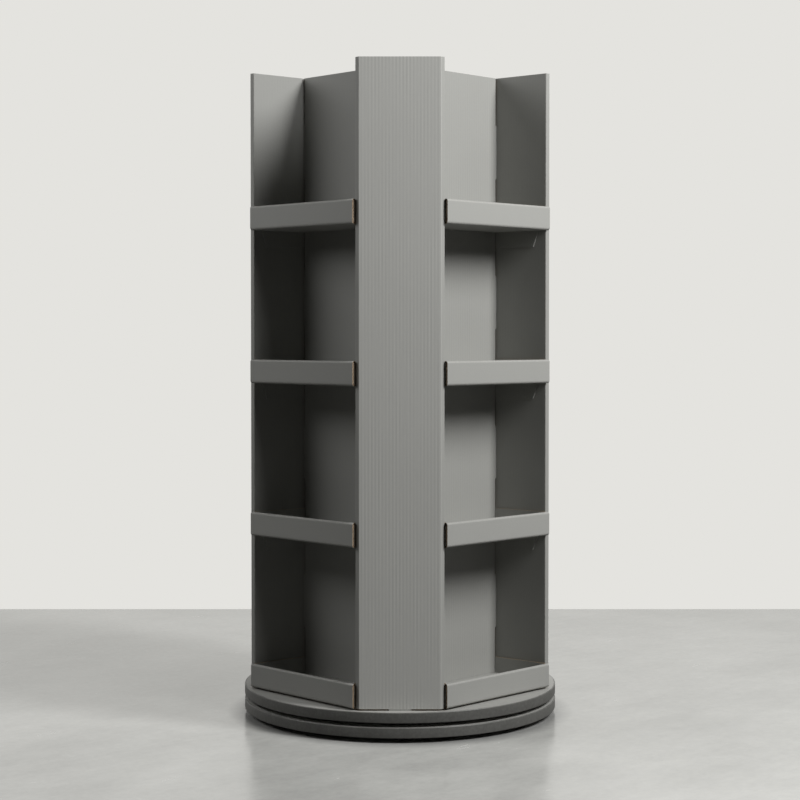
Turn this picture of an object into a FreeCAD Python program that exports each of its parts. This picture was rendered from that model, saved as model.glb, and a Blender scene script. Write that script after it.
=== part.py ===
# Revolving four-sided display tower of corrugated board on a round turntable base.
#
# Frame: the turntable's axis is Z, the floor is z = 0, and each side's bay opens along
# +Y (north), +X (east), -Y (south) or -X (west). The corner posts stand on the diagonals.
# A piece of one side is drawn in the north bay and turned about Z to its own side.

import FreeCAD, Part
import math
import os

import Sketcher

SIZES = [
    # round base
    ("board_diameter", 600.0),      # both round boards
    ("board_thick", 19.0),
    ("board_round", 1.5),           # rounding of the boards' rims
    ("glide_height", 9.0),          # floor to the lower board
    ("glide_diameter", 40.0),
    ("glide_circle", 235.0),        # radius of the circle that the glides stand on
    ("glide_count", 6),
    # ball bearing between the boards
    ("bearing_height", 8.0),
    ("race_thick", 3.0),
    ("race_radius", 130.0),         # ball circle
    ("race_width", 44.0),
    ("race_screw_out", 14.0),       # from the ball circle to the screw circle
    ("race_screw_count", 4),
    ("ball_diameter", 6.0),
    ("ball_count", 24),
    ("ball_gap", 0.15),             # ball to groove and to cage
    ("cage_thick", 1.2),
    ("cage_width", 16.0),
    ("access_diameter", 20.0),      # hole in the lower board to reach the upper screws
    ("race_access", 10.0),          # the same hole through the lower race
    # screws
    ("screw_diameter", 4.0),
    ("screw_head", 8.0),
    ("screw_head_high", 2.2),
    ("screw_bite", 13.0),           # thread in the board
    ("screw_gap", 0.05),            # thread to its hole
    ("head_room", 1.0),             # round a screw's head in a glide
    # folded sheets
    ("sheet_thick", 3.0),
    ("tower_height", 1159.0),
    ("bay_front", 251.0),           # axis to the front plane of a bay
    ("bay_opening", 276.5),         # clear width at the front
    ("bay_back", 248.6),            # clear width at the back panel
    ("bay_depth", 112.7),           # front plane to back panel
    ("strip_width", 9.5),           # narrow front of each side wall beside the bay
    ("flange_width", 30.0),         # glue flange behind the back panel
    ("foot_tab_width", 40.0),       # tab at the foot of each post
    ("foot_tab_deep", 12.0),        # how far it goes into the upper board
    ("slot_gap", 0.3),
    ("glue_gap", 0.05),
    ("fit_gap", 0.2),
    # back panels
    ("panel_gap", 3.3),             # open joint beside the panel, between its tabs
    ("panel_tab_high", 102.0),
    ("panel_tab_up", 102.0),        # tier's underside to its tab
    # trays
    ("tier_count", 4),
    ("tier_pitch", 288.0),
    ("lip_height", 44.5),
    ("lip_depth", 8.0),
    ("lip_overlap", 1.5),           # lip over each strip
    ("fold_radius", 5.0),           # lip to floor
    ("pad_thick", 11.5),
    # cleats under the trays
    ("cleat_height", 30.0),
    ("cleat_foot", 86.0),           # length along its lower edge
    ("cleat_slant", 12.0),
    # core
    ("base_inset", 6.0),            # base sheet back from the tower's outside
    ("block_thick", 18.0),
    ("block_screw_circle", 90.0),
    ("block_gap", 0.5),
    ("lid_height", 40.0),
    ("lid_drop", 20.0),             # lid below the tower's top edge
]

SIDES = [("north", 0.0), ("west", 90.0), ("south", 180.0), ("east", 270.0)]
CORNERS = [("north_east", 0.0), ("north_west", 90.0), ("south_west", 180.0), ("south_east", 270.0)]
OVERRUN = 1.0                       # how far a cutting tool runs past a face
PAST = " + %g" % OVERRUN            # the same in an expression, for one end and for both
PAST_BOTH = " + %g" % (2 * OVERRUN)
BACK = " - %g" % OVERRUN
Z_AXIS = FreeCAD.Vector(0, 0, 1)

doc = FreeCAD.newDocument("display_tower")
sheet = doc.addObject("Spreadsheet::Sheet", "Sizes")
for row, (alias, number) in enumerate(SIZES, start=1):
    sheet.set("A%d" % row, alias)
    sheet.set("B%d" % row, str(number))
    sheet.setAlias("B%d" % row, alias)
doc.recompute()

nodes = []


def size(alias):
    return float(sheet.get(alias))


def cells(words):
    """Put the sheet's name before each alias in an expression."""
    out = words
    for alias in sorted((name for name, number in SIZES), key=len, reverse=True):
        out = out.replace("#" + alias, "Sizes." + alias)
    return out


def bind(thing, **expressions):
    """Tie properties to the sheet; x, y and z are the parts of the placement's base."""
    for name, words in expressions.items():
        if name in ("x", "y", "z"):
            name = "Placement.Base." + name
        thing.setExpression(name, cells(words))
    return thing


def keep(thing, label, turn=0.0):
    """Name a finished sub-part and turn it to its side."""
    thing.Label = label
    base = thing.Placement.Base
    thing.Placement = FreeCAD.Placement(base, FreeCAD.Rotation(Z_AXIS, turn))
    nodes.append(thing)
    return thing


# heights and outlines that several pieces share, as expressions of the sheet's cells
LOWER_TOP = "(#glide_height + #board_thick)"
BALL_LEVEL = "(#glide_height + #board_thick + #bearing_height / 2)"
UPPER_FOOT = "(#glide_height + #board_thick + #bearing_height)"
UPPER_TOP = "(#glide_height + 2 * #board_thick + #bearing_height)"
TOWER_FOOT = "(#glide_height + 2 * #board_thick + #bearing_height + #sheet_thick)"
BAY_REAR = "(#bay_front - #bay_depth)"
SLOPE = "((#bay_opening - #bay_back) / 2 / #bay_depth)"
FACE_PLANE = "((#bay_front + #bay_opening / 2 + #strip_width) / sqrt(2))"
CORE_HALF = "(#bay_front - #bay_depth - 2 * #sheet_thick - #glue_gap)"


def wall_at(place):
    """Half-width of the bay at a distance from the axis."""
    return "(#bay_opening / 2 - (#bay_front - (" + place + ")) * " + SLOPE + ")"


def box(name, long, wide, high, x="0", y="0", z="0"):
    made = doc.addObject("Part::Box", name)
    return bind(made, Length=long, Width=wide, Height=high, x=x, y=y, z=z)


def centred_box(name, long, wide, high, z="0"):
    return box(name, long, wide, high, "-(" + long + ") / 2", "-(" + wide + ") / 2", z)


def cylinder(name, radius, high, x="0", y="0", z="0"):
    made = doc.addObject("Part::Cylinder", name)
    return bind(made, Radius=radius, Height=high, x=x, y=y, z=z)


def rod_along_x(name, radius, long, y, z):
    """Round bar lying along X, centred on X = 0."""
    made = doc.addObject("Part::Cylinder", name)
    made.Placement.Rotation = FreeCAD.Rotation(FreeCAD.Vector(0, 1, 0), 90)
    return bind(made, Radius=radius, Height=long, x="-(" + long + ") / 2", y=y, z=z)


def bay_wedge(name, near, far, inset, low, high):
    """Block that follows the bay's side walls, inset from them, between two distances."""
    made = doc.addObject("Part::Wedge", name)
    near_half = wall_at(near) + " - (" + inset + ")"
    far_half = wall_at(far) + " - (" + inset + ")"
    bind(made, Ymin=near, Ymax=far, Zmin=low, Z2min=low, Zmax=high, Z2max=high)
    bind(made, Xmin="-(" + near_half + ")", Xmax=near_half)
    return bind(made, X2min="-(" + far_half + ")", X2max=far_half)


def cut(name, base, tool):
    made = doc.addObject("Part::Cut", name)
    made.Base = base
    made.Tool = tool
    return made


def fuse(name, shapes):
    made = doc.addObject("Part::MultiFuse", name)
    made.Shapes = shapes
    made.Refine = True
    return made


def group(name, shapes):
    """Separate solids that share one node."""
    made = doc.addObject("Part::Compound", name)
    made.Links = shapes
    return made


def around(count, start=0.0):
    """Angles of a ring of equal places, in degrees."""
    return [start + 360.0 * step / count for step in range(int(count))]


def on_ring(thing, radius, angle):
    """Tie a shape's X and Y to a place on a ring."""
    bind(thing, x="%s * cos(%g)" % (radius, angle), y="%s * sin(%g)" % (radius, angle))
    return thing


# ---- round boards: PartDesign bodies -------------------------------------------------

def plane_of(body, role):
    for feature in body.Origin.OriginFeatures:
        if feature.Role == role:
            return feature
    raise RuntimeError("no plane " + role)


def flat_sketch(body, name):
    made = body.newObject("Sketcher::SketchObject", name)
    made.AttachmentSupport = [(plane_of(body, "XY_Plane"), "")]
    made.MapMode = "FlatFace"
    return made


def draw_circle(sketch, radius, distance="0", angle=0.0):
    """Circle on a ray from the origin, its radius and distance tied to the sheet."""
    far = sheet_value(distance)
    middle = FreeCAD.Vector(far * math.cos(math.radians(angle)), far * math.sin(math.radians(angle)), 0)
    ring = sketch.addGeometry(Part.Circle(middle, Z_AXIS, sheet_value(radius)), False)
    rule = sketch.addConstraint(Sketcher.Constraint("Radius", ring, sheet_value(radius)))
    sketch.setExpression("Constraints[%d]" % rule, cells(radius))
    if far == 0:
        sketch.addConstraint(Sketcher.Constraint("Coincident", ring, 3, -1, 1))
        return
    start = FreeCAD.Vector(0, 0, 0)
    ray = sketch.addGeometry(Part.LineSegment(start, middle), True)
    sketch.addConstraint(Sketcher.Constraint("Coincident", ray, 1, -1, 1))
    sketch.addConstraint(Sketcher.Constraint("Coincident", ray, 2, ring, 3))
    rule = sketch.addConstraint(Sketcher.Constraint("Distance", ray, far))
    sketch.setExpression("Constraints[%d]" % rule, cells(distance))
    sketch.addConstraint(Sketcher.Constraint("Angle", -1, 1, ray, 1, math.radians(angle)))


def draw_slot(sketch, wide, thick, distance):
    """Rectangle across the X axis at a distance from the origin."""
    half_wide = sheet_value(wide) / 2
    near = sheet_value(distance)
    far = near + sheet_value(thick)
    corners = [(near, -half_wide), (far, -half_wide), (far, half_wide), (near, half_wide)]
    corners = [FreeCAD.Vector(x, y, 0) for x, y in corners]
    for place in range(4):
        sketch.addGeometry(Part.LineSegment(corners[place], corners[(place + 1) % 4]), False)
    for place in range(4):
        sketch.addConstraint(Sketcher.Constraint("Coincident", place, 2, (place + 1) % 4, 1))
    sketch.addConstraint(Sketcher.Constraint("Horizontal", 0))
    sketch.addConstraint(Sketcher.Constraint("Horizontal", 2))
    sketch.addConstraint(Sketcher.Constraint("Vertical", 1))
    sketch.addConstraint(Sketcher.Constraint("Symmetric", 3, 1, 3, 2, -1))
    for kind, value, words in (("long", sheet_value(thick), thick), ("wide", 2 * half_wide, wide)):
        line = 0 if kind == "long" else 1
        rule = sketch.addConstraint(Sketcher.Constraint("Distance", line, value))
        sketch.setExpression("Constraints[%d]" % rule, cells(words))
    rule = sketch.addConstraint(Sketcher.Constraint("DistanceX", -1, 1, 0, 1, near))
    sketch.setExpression("Constraints[%d]" % rule, cells(distance))


def sheet_value(words):
    """Value of an expression of the sheet's cells."""
    plain = words
    for alias, number in sorted(SIZES, key=lambda pair: len(pair[0]), reverse=True):
        plain = plain.replace("#" + alias, repr(size(alias)))
    total = doc.getObject("Probe")
    total.setExpression("Height", plain + " + %g" % PROBE_BASE)
    total.recompute()
    return total.Height.Value - PROBE_BASE


PROBE_BASE = 1000.0                 # keeps the probe's height above zero
doc.addObject("Part::Box", "Probe")     # works out expressions and is not exported


def board(name, foot):
    """Round board with rounded rims, lying on its own XY plane."""
    body = doc.addObject("PartDesign::Body", name)
    outline = flat_sketch(body, name + "_outline")
    draw_circle(outline, "#board_diameter / 2")
    pad = body.newObject("PartDesign::Pad", name + "_pad")
    pad.Profile = outline
    bind(pad, Length="#board_thick")
    doc.recompute()
    rims = []
    for place, edge in enumerate(pad.Shape.Edges, start=1):
        if isinstance(edge.Curve, Part.Circle):
            rims.append("Edge%d" % place)
    rounding = body.newObject("PartDesign::Fillet", name + "_rims")
    rounding.Base = (pad, rims)
    bind(rounding, Radius="#board_round")
    bind(body, z=foot)
    doc.recompute()
    return body


def cut_ring(body, name, draw, count, deep, from_top=False):
    """Cut one sketched hole and its copies round the axis; deep is None when it runs through."""
    sketch = flat_sketch(body, name + "_sketch")
    if from_top:
        sketch.setExpression("AttachmentOffset.Base.z", cells("#board_thick"))
    draw(sketch)
    before = body.Tip.Shape.Volume
    pocket = body.newObject("PartDesign::Pocket", name + "_cut")
    pocket.Profile = sketch
    pocket.Reversed = not from_top
    if deep is None:
        pocket.Type = "ThroughAll"
    else:
        bind(pocket, Length=deep)
    doc.recompute()
    if count > 1:
        ring = body.newObject("PartDesign::PolarPattern", name + "_ring")
        ring.Originals = [pocket]
        ring.Axis = (sketch, ["N_Axis"])
        ring.Angle = 360
        ring.Occurrences = int(count)
        body.Tip = ring
        doc.recompute()
    if body.Tip.Shape.Volume >= before:
        raise RuntimeError(name + " cut nothing")


PILOT = "#screw_diameter / 2 + #screw_gap"
RACE_SCREWS = "(#race_radius + #race_screw_out)"
RACE_SCREW_COUNT = int(size("race_screw_count"))
GLIDE_COUNT = int(size("glide_count"))
BALL_COUNT = int(size("ball_count"))
TIER_COUNT = int(size("tier_count"))
UPPER_SCREW_TURN = 45.0             # the upper race's screws stand between the lower one's
BOARD_TURN = 45.0                   # the upper board is drawn with a post slot on its X axis
BLOCK_SCREWS = 4

lower_board = board("lower_board", "#glide_height")
cut_ring(lower_board, "lower_race_pilots", lambda sketch: draw_circle(sketch, PILOT, RACE_SCREWS),
         RACE_SCREW_COUNT, "#screw_bite" + PAST, from_top=True)
cut_ring(lower_board, "glide_pilots", lambda sketch: draw_circle(sketch, PILOT, "#glide_circle"),
         GLIDE_COUNT, "#screw_bite" + PAST)
cut_ring(lower_board, "access_hole",
         lambda sketch: draw_circle(sketch, "#access_diameter / 2", RACE_SCREWS, UPPER_SCREW_TURN), 1, None)
keep(lower_board, "lower_board")

upper_board = board("upper_board", UPPER_FOOT)
cut_ring(upper_board, "upper_race_pilots",
         lambda sketch: draw_circle(sketch, PILOT, RACE_SCREWS, UPPER_SCREW_TURN - BOARD_TURN),
         RACE_SCREW_COUNT, "#screw_bite" + PAST)
cut_ring(upper_board, "block_pilots", lambda sketch: draw_circle(sketch, PILOT, "#block_screw_circle"),
         BLOCK_SCREWS, "#screw_bite" + PAST, from_top=True)
cut_ring(upper_board, "post_slots",
         lambda sketch: draw_slot(sketch, "#foot_tab_width + 2 * #slot_gap", "#sheet_thick + 2 * #slot_gap",
                                  FACE_PLANE + " - #sheet_thick - #slot_gap"),
         len(CORNERS), "#foot_tab_deep" + PAST, from_top=True)
keep(upper_board, "upper_board", BOARD_TURN)


# ---- screws --------------------------------------------------------------------------

def screw(name, radius, angle, head_level, upwards, grip):
    """Countersunk screw on a ring: a flat head, a cone and a shank that crosses the grip."""
    sign = 1 if upwards else -1
    head = doc.addObject("Part::Cone", name + "_head")
    shank = doc.addObject("Part::Cylinder", name + "_shank")
    turn = FreeCAD.Rotation(FreeCAD.Vector(1, 0, 0), 0 if upwards else 180)
    head.Placement.Rotation = turn
    shank.Placement.Rotation = turn
    bind(head, Radius1="#screw_head / 2", Radius2="#screw_diameter / 2", Height="#screw_head_high",
         z=head_level)
    bind(shank, Radius="#screw_diameter / 2", Height=grip + " + #screw_bite - #screw_head_high",
         z="%s + %d * #screw_head_high" % (head_level, sign))
    on_ring(head, radius, angle)
    on_ring(shank, radius, angle)
    return fuse(name, [head, shank])


def screw_hole(name, radius, angle, head_level, upwards, grip):
    """Clearance round such a screw: the same shape, wider by the screw gap and open at both ends."""
    head = doc.addObject("Part::Cone", name + "_seat")
    hole = doc.addObject("Part::Cylinder", name + "_hole")
    turn = FreeCAD.Rotation(FreeCAD.Vector(1, 0, 0), 0 if upwards else 180)
    head.Placement.Rotation = turn
    hole.Placement.Rotation = turn
    bind(head, Radius1="#screw_head / 2 + #screw_gap", Radius2="#screw_diameter / 2 + #screw_gap",
         Height="#screw_head_high", z=head_level)
    bind(hole, Radius=PILOT, Height=grip + PAST_BOTH, z=head_level)
    on_ring(head, radius, angle)
    on_ring(hole, radius, angle)
    return fuse(name, [head, hole])


# ---- glides --------------------------------------------------------------------------

glides = []
glide_screws = []
GLIDE_SEAT = "#glide_height / 2"    # the screw's head sits half-way up the glide
for place, angle in enumerate(around(GLIDE_COUNT), start=1):
    disc = cylinder("glide_disc_%d" % place, "#glide_diameter / 2", "#glide_height")
    on_ring(disc, "#glide_circle", angle)
    recess = cylinder("glide_recess_%d" % place, "#screw_head / 2 + #head_room", GLIDE_SEAT + PAST,
                      z="0" + BACK)
    on_ring(recess, "#glide_circle", angle)
    seat = screw_hole("glide_seat_%d" % place, "#glide_circle", angle, GLIDE_SEAT, True, "#glide_height")
    glides.append(cut("glide_%d" % place, disc, fuse("glide_hollow_%d" % place, [recess, seat])))
    glide_screws.append(screw("glide_screw_%d" % place, "#glide_circle", angle, GLIDE_SEAT, True,
                              "#glide_height / 2"))
keep(group("glide_group", glides), "glide_feet")
keep(group("glide_screw_group", glide_screws), "glide_screws")


# ---- ball bearing --------------------------------------------------------------------

def race(name, foot, head_level, upwards, turn, more_tools=()):
    """Flat ring with a round ball groove and countersunk screw holes."""
    outside = cylinder(name + "_outside", "#race_radius + #race_width / 2", "#race_thick", z=foot)
    inside = cylinder(name + "_inside", "#race_radius - #race_width / 2", "#race_thick" + PAST_BOTH,
                      z=foot + BACK)
    groove = doc.addObject("Part::Torus", name + "_groove")
    bind(groove, Radius1="#race_radius", Radius2="#ball_diameter / 2 + #ball_gap", z=BALL_LEVEL)
    tools = [inside, groove, *more_tools]
    screws = []
    for place, angle in enumerate(around(RACE_SCREW_COUNT, turn), start=1):
        tools.append(screw_hole("%s_seat_%d" % (name, place), RACE_SCREWS, angle, head_level, upwards,
                                "#race_thick"))
        screws.append(screw("%s_screw_%d" % (name, place), RACE_SCREWS, angle, head_level, upwards,
                            "#race_thick"))
    keep(cut(name, outside, fuse(name + "_tools", tools)), name)
    keep(group(name + "_screw_group", screws), name + "_screws")


race_access = cylinder("race_access_hole", "#race_access / 2", "#race_thick" + PAST_BOTH, z=LOWER_TOP + BACK)
on_ring(race_access, RACE_SCREWS, UPPER_SCREW_TURN)
race("lower_race", LOWER_TOP, LOWER_TOP + " + #race_thick", False, 0.0, [race_access])
race("upper_race", UPPER_FOOT + " - #race_thick", UPPER_FOOT + " - #race_thick", True, UPPER_SCREW_TURN)

balls = []
pockets = [cylinder("cage_inside", "#race_radius - #cage_width / 2", "#cage_thick" + PAST_BOTH,
                    z=BALL_LEVEL + " - #cage_thick / 2" + BACK)]
for place, angle in enumerate(around(BALL_COUNT), start=1):
    ball = doc.addObject("Part::Sphere", "ball_%d" % place)
    bind(ball, Radius="#ball_diameter / 2", z=BALL_LEVEL)
    balls.append(on_ring(ball, "#race_radius", angle))
    pocket = cylinder("ball_pocket_%d" % place, "#ball_diameter / 2 + #ball_gap", "#cage_thick" + PAST_BOTH,
                      z=BALL_LEVEL + " - #cage_thick / 2" + BACK)
    pockets.append(on_ring(pocket, "#race_radius", angle))
cage_disc = cylinder("cage_disc", "#race_radius + #cage_width / 2", "#cage_thick",
                     z=BALL_LEVEL + " - #cage_thick / 2")
keep(cut("ball_cage", cage_disc, fuse("cage_pockets", pockets)), "ball_cage")
keep(group("ball_group", balls), "bearing_balls")


# ---- base sheet and core -------------------------------------------------------------

straight = centred_box("base_square", "2 * (#bay_front - #base_inset)", "2 * (#bay_front - #base_inset)",
                       "#sheet_thick", UPPER_TOP)
turned = centred_box("base_diamond", "2 * (" + FACE_PLANE + " - #base_inset)",
                     "2 * (" + FACE_PLANE + " - #base_inset)", "#sheet_thick")
diamond = group("base_diamond_turned", [turned])
diamond.Placement.Rotation = FreeCAD.Rotation(Z_AXIS, 45)
bind(diamond, z=UPPER_TOP)
octagon = doc.addObject("Part::Common", "base_octagon")
octagon.Base = straight
octagon.Tool = diamond
BLOCK_TOP = TOWER_FOOT + " + #block_thick"
seats = []
block_screws = []
for place, angle in enumerate(around(BLOCK_SCREWS, 45.0), start=1):
    seats.append(screw_hole("block_seat_%d" % place, "#block_screw_circle", angle, BLOCK_TOP, False,
                            "#block_thick + #sheet_thick"))
    block_screws.append(screw("block_screw_%d" % place, "#block_screw_circle", angle, BLOCK_TOP, False,
                              "#block_thick + #sheet_thick"))
seat_group = fuse("block_seats", seats)
keep(cut("base_sheet", octagon, seat_group), "base_sheet")
block_side = "2 * (" + CORE_HALF + " - #block_gap)"
block = centred_box("core_block_plain", block_side, block_side, "#block_thick", TOWER_FOOT)
keep(cut("core_block", block, seat_group), "core_block")
keep(group("block_screw_group", block_screws), "core_block_screws")


def core_cover(label, top):
    """Square cover with its four edges folded down, glued inside the core."""
    outside = centred_box(label + "_outside", block_side, block_side, "#lid_height", top + " - #lid_height")
    hollow_side = block_side + " - 2 * #sheet_thick"
    hollow = centred_box(label + "_hollow", hollow_side, hollow_side, "#lid_height",
                         top + " - #lid_height - #sheet_thick")
    keep(cut(label, outside, hollow), label)


core_cover("core_lid", TOWER_FOOT + " + #tower_height - #lid_drop")
core_cover("core_divider", TOWER_FOOT + " + #tower_height / 2")


# ---- corner posts --------------------------------------------------------------------

def offset_left(path, gap):
    """Path moved to its left by a gap, its corners kept sharp."""
    lines = []
    for start, end in zip(path[:-1], path[1:]):
        along = (end - start).normalize()
        aside = FreeCAD.Vector(-along.y, along.x, 0) * gap
        lines.append((start + aside, end + aside, along))
    moved = [lines[0][0]]
    for (first, _, run), (second, _, next_run) in zip(lines[:-1], lines[1:]):
        cross = run.x * next_run.y - run.y * next_run.x
        gap_vector = second - first
        along_first = (gap_vector.x * next_run.y - gap_vector.y * next_run.x) / cross
        moved.append(first + run * along_first)
    moved.append(lines[-1][1])
    return moved


def post_path():
    """Outer line of one post's sheet, from one glue flange round the post to the other."""
    rear = size("bay_front") - size("bay_depth")
    slope = (size("bay_opening") - size("bay_back")) / 2 / size("bay_depth")
    flange = rear - size("sheet_thick") - size("glue_gap")
    flange_wall = size("bay_back") / 2 - (rear - flange) * slope
    half_open = size("bay_opening") / 2
    east = [
        (flange, flange_wall - size("flange_width")),
        (flange, flange_wall),
        (size("bay_front"), half_open),
        (size("bay_front"), half_open + size("strip_width")),
    ]
    north = [(y, x) for x, y in reversed(east)]
    return [FreeCAD.Vector(x, y, 0) for x, y in east + north]


def post(label, turn):
    outer = post_path()
    inner = offset_left(outer, size("sheet_thick"))
    face = Part.Face(Part.makePolygon(outer + inner[::-1] + [outer[0]]))
    wall = face.extrude(FreeCAD.Vector(0, 0, size("tower_height")))
    deep = size("sheet_thick") + size("foot_tab_deep")
    middle = (outer[3] + outer[4]) * 0.5
    tab = Part.makeBox(size("sheet_thick"), size("foot_tab_width"), deep + OVERRUN)
    tab.translate(FreeCAD.Vector(-size("sheet_thick"), -size("foot_tab_width") / 2, -deep))
    tab.rotate(FreeCAD.Vector(0, 0, 0), Z_AXIS, 45)
    tab.translate(middle)
    made = doc.addObject("Part::Feature", label)
    made.Shape = wall.fuse(tab).removeSplitter()
    bind(made, z=TOWER_FOOT)
    keep(made, label, turn)


for corner, turn in CORNERS:
    post("post_" + corner, turn)


# ---- back panels, trays, pads and cleats of each side --------------------------------

def tier_foot(tier):
    return "(%s + %d * #tier_pitch)" % (TOWER_FOOT, tier)


def back_panel(side, turn):
    name = "back_panel_" + side
    rear = BAY_REAR + " - #sheet_thick"
    narrow = "(#bay_back - 2 * #panel_gap)"
    wide = "(#bay_back - 2 * #sheet_thick * " + SLOPE + " - 2 * #glue_gap)"
    pieces = [box(name + "_sheet", narrow, "#sheet_thick", "#tower_height", "-" + narrow + " / 2", rear)]
    for tier in range(TIER_COUNT):
        foot = "%d * #tier_pitch + #panel_tab_up" % tier
        pieces.append(box("%s_tab_%d" % (name, tier + 1), wide, "#sheet_thick", "#panel_tab_high",
                          "-" + wide + " / 2", rear, foot))
    panel = fuse(name, pieces)
    bind(panel, z=TOWER_FOOT)
    keep(panel, name, turn)


LIP_REAR = "(#bay_front + #fit_gap)"
LIP_LONG = "(#bay_opening + 2 * #lip_overlap)"


def tray(side, turn, tier):
    """Floor and two side flaps of one sheet, with a lip rolled over at the front."""
    name = "tray_%s_%d" % (side, tier + 1)
    near = "(" + BAY_REAR + " + #fit_gap)"
    outside = bay_wedge(name + "_outside", near, LIP_REAR, "#fit_gap", "0", "#lip_height")
    hollow = bay_wedge(name + "_hollow", near + BACK, LIP_REAR + PAST, "#fit_gap + #sheet_thick",
                       "#sheet_thick", "#lip_height" + PAST)
    tray_floor = cut(name + "_floor", outside, hollow)
    left = "-" + LIP_LONG + " / 2"
    roll = "#lip_depth / 2"
    foot = box(name + "_lip_foot", LIP_LONG, "#lip_depth - #fold_radius", "#fold_radius", left, LIP_REAR)
    fold = rod_along_x(name + "_lip_fold", "#fold_radius", LIP_LONG,
                       LIP_REAR + " + #lip_depth - #fold_radius", "#fold_radius")
    fold.Angle = 90                 # the quarter between underside and front
    front = box(name + "_lip_front", LIP_LONG, "#lip_depth", "#lip_height - #fold_radius - " + roll,
                left, LIP_REAR, "#fold_radius")
    rolled = rod_along_x(name + "_lip_roll", roll, LIP_LONG, LIP_REAR + " + " + roll,
                         "#lip_height - " + roll)
    whole = fuse(name + "_whole", [tray_floor, foot, fold, front, rolled])
    slot = box(name + "_lip_slot", LIP_LONG + PAST_BOTH, "#lip_depth - 2 * #sheet_thick",
               "#lip_height - #sheet_thick - " + roll, left + BACK, LIP_REAR + " + #sheet_thick",
               "#sheet_thick")
    slot_top = rod_along_x(name + "_lip_slot_top", roll + " - #sheet_thick", LIP_LONG + PAST_BOTH,
                           LIP_REAR + " + " + roll, "#lip_height - " + roll)
    made = cut(name, whole, fuse(name + "_slot", [slot, slot_top]))
    bind(made, z=tier_foot(tier))
    keep(made, name, turn)


def shelf_pad(side, turn, tier):
    """Honeycomb pad that lies on the tray's floor, between its flaps."""
    near = "(" + BAY_REAR + " + #fit_gap)"
    made = bay_wedge("shelf_pad_%s_%d" % (side, tier + 1), near, "(#bay_front - #fit_gap)",
                     "2 * #fit_gap + #sheet_thick", "0", "#pad_thick")
    bind(made, z=tier_foot(tier) + " + #sheet_thick")
    keep(made, made.Name, turn)


def cleats(side, turn):
    """Strips glued to the side walls under the upper trays, with slanted front ends."""
    strips = []
    splay = math.degrees(math.atan((size("bay_opening") - size("bay_back")) / 2 / size("bay_depth")))
    stand = FreeCAD.Rotation(FreeCAD.Vector(1, 1, 1), 120)
    half = "(#bay_back / 2 + #fit_gap * " + SLOPE + ")"
    lean_cos = "cos(atan(" + SLOPE + "))"
    rear = BAY_REAR + " + #fit_gap"
    hands = [
        ("right", -splay, half + " - (#glue_gap + #sheet_thick * " + lean_cos + ")",
         rear + " + #sheet_thick * sin(atan(" + SLOPE + "))"),
        ("left", splay, "-" + half + " + #glue_gap", rear),
    ]
    for tier in range(1, TIER_COUNT):
        for hand, lean, x, y in hands:
            strip = doc.addObject("Part::Wedge", "cleat_%s_%d_%s" % (side, tier, hand))
            bind(strip, Xmin="0", Xmax="#cleat_foot", X2min="0", X2max="#cleat_foot + #cleat_slant")
            bind(strip, Ymin="0", Ymax="#cleat_height", Zmin="0", Z2min="0")
            bind(strip, Zmax="#sheet_thick", Z2max="#sheet_thick")
            strip.Placement.Rotation = FreeCAD.Rotation(Z_AXIS, lean).multiply(stand)
            bind(strip, x=x, y=y, z="%d * #tier_pitch - #cleat_height" % tier)
            strips.append(strip)
    made = group("cleat_group_" + side, strips)
    bind(made, z=TOWER_FOOT)
    keep(made, "shelf_cleats_" + side, turn)


for side, turn in SIDES:
    back_panel(side, turn)
    for tier in range(TIER_COUNT):
        tray(side, turn, tier)
        shelf_pad(side, turn, tier)
    cleats(side, turn)


# ---- check and write -----------------------------------------------------------------

doc.recompute()
faults = []
for thing in doc.Objects:
    if "Invalid" in thing.State or "Error" in thing.State:
        faults.append("%s: %s" % (thing.Name, ", ".join(thing.State)))
for node in nodes:
    if node.Shape.isNull() or not node.Shape.isValid() or node.Shape.Volume <= 0:
        faults.append("bad shape: " + node.Label)
if faults:
    raise RuntimeError("\n".join(faults))

os.makedirs("parts", exist_ok=True)
for node in nodes:
    node.Shape.exportStep("parts/%s.step" % node.Label)
    print("%-26s %3d solid(s) %12.0f mm3" % (node.Label, len(node.Shape.Solids), node.Shape.Volume))
print("%d nodes" % len(nodes))
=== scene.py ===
import math

import bmesh
import bpy
import numpy as np
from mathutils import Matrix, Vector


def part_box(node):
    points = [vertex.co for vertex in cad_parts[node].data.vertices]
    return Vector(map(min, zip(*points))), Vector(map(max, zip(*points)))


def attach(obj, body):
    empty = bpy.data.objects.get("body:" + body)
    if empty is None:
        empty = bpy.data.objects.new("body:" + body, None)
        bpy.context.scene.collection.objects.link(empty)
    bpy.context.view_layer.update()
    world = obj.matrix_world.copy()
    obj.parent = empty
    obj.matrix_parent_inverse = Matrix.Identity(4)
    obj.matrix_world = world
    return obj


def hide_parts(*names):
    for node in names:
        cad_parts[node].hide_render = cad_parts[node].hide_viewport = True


# Looks of a revolving display tower of folded corrugated sheet. Metres, the turning axis is Z.
# Each side's pieces are worked out in the north bay, which opens along +Y, then turned about Z.

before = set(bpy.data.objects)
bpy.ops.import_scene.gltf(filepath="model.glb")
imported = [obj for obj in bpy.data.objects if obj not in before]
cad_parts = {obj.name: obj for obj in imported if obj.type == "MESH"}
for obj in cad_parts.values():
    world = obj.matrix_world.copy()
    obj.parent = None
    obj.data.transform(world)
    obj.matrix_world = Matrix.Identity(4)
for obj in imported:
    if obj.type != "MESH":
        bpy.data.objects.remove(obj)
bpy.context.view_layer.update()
print("frame loaded:", len(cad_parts), "nodes")

panelLow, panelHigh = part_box("back_panel_north")
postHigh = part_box("post_north_east")[1]
trayLow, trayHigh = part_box("tray_north_1")
padLow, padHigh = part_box("shelf_pad_north_1")

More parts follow.
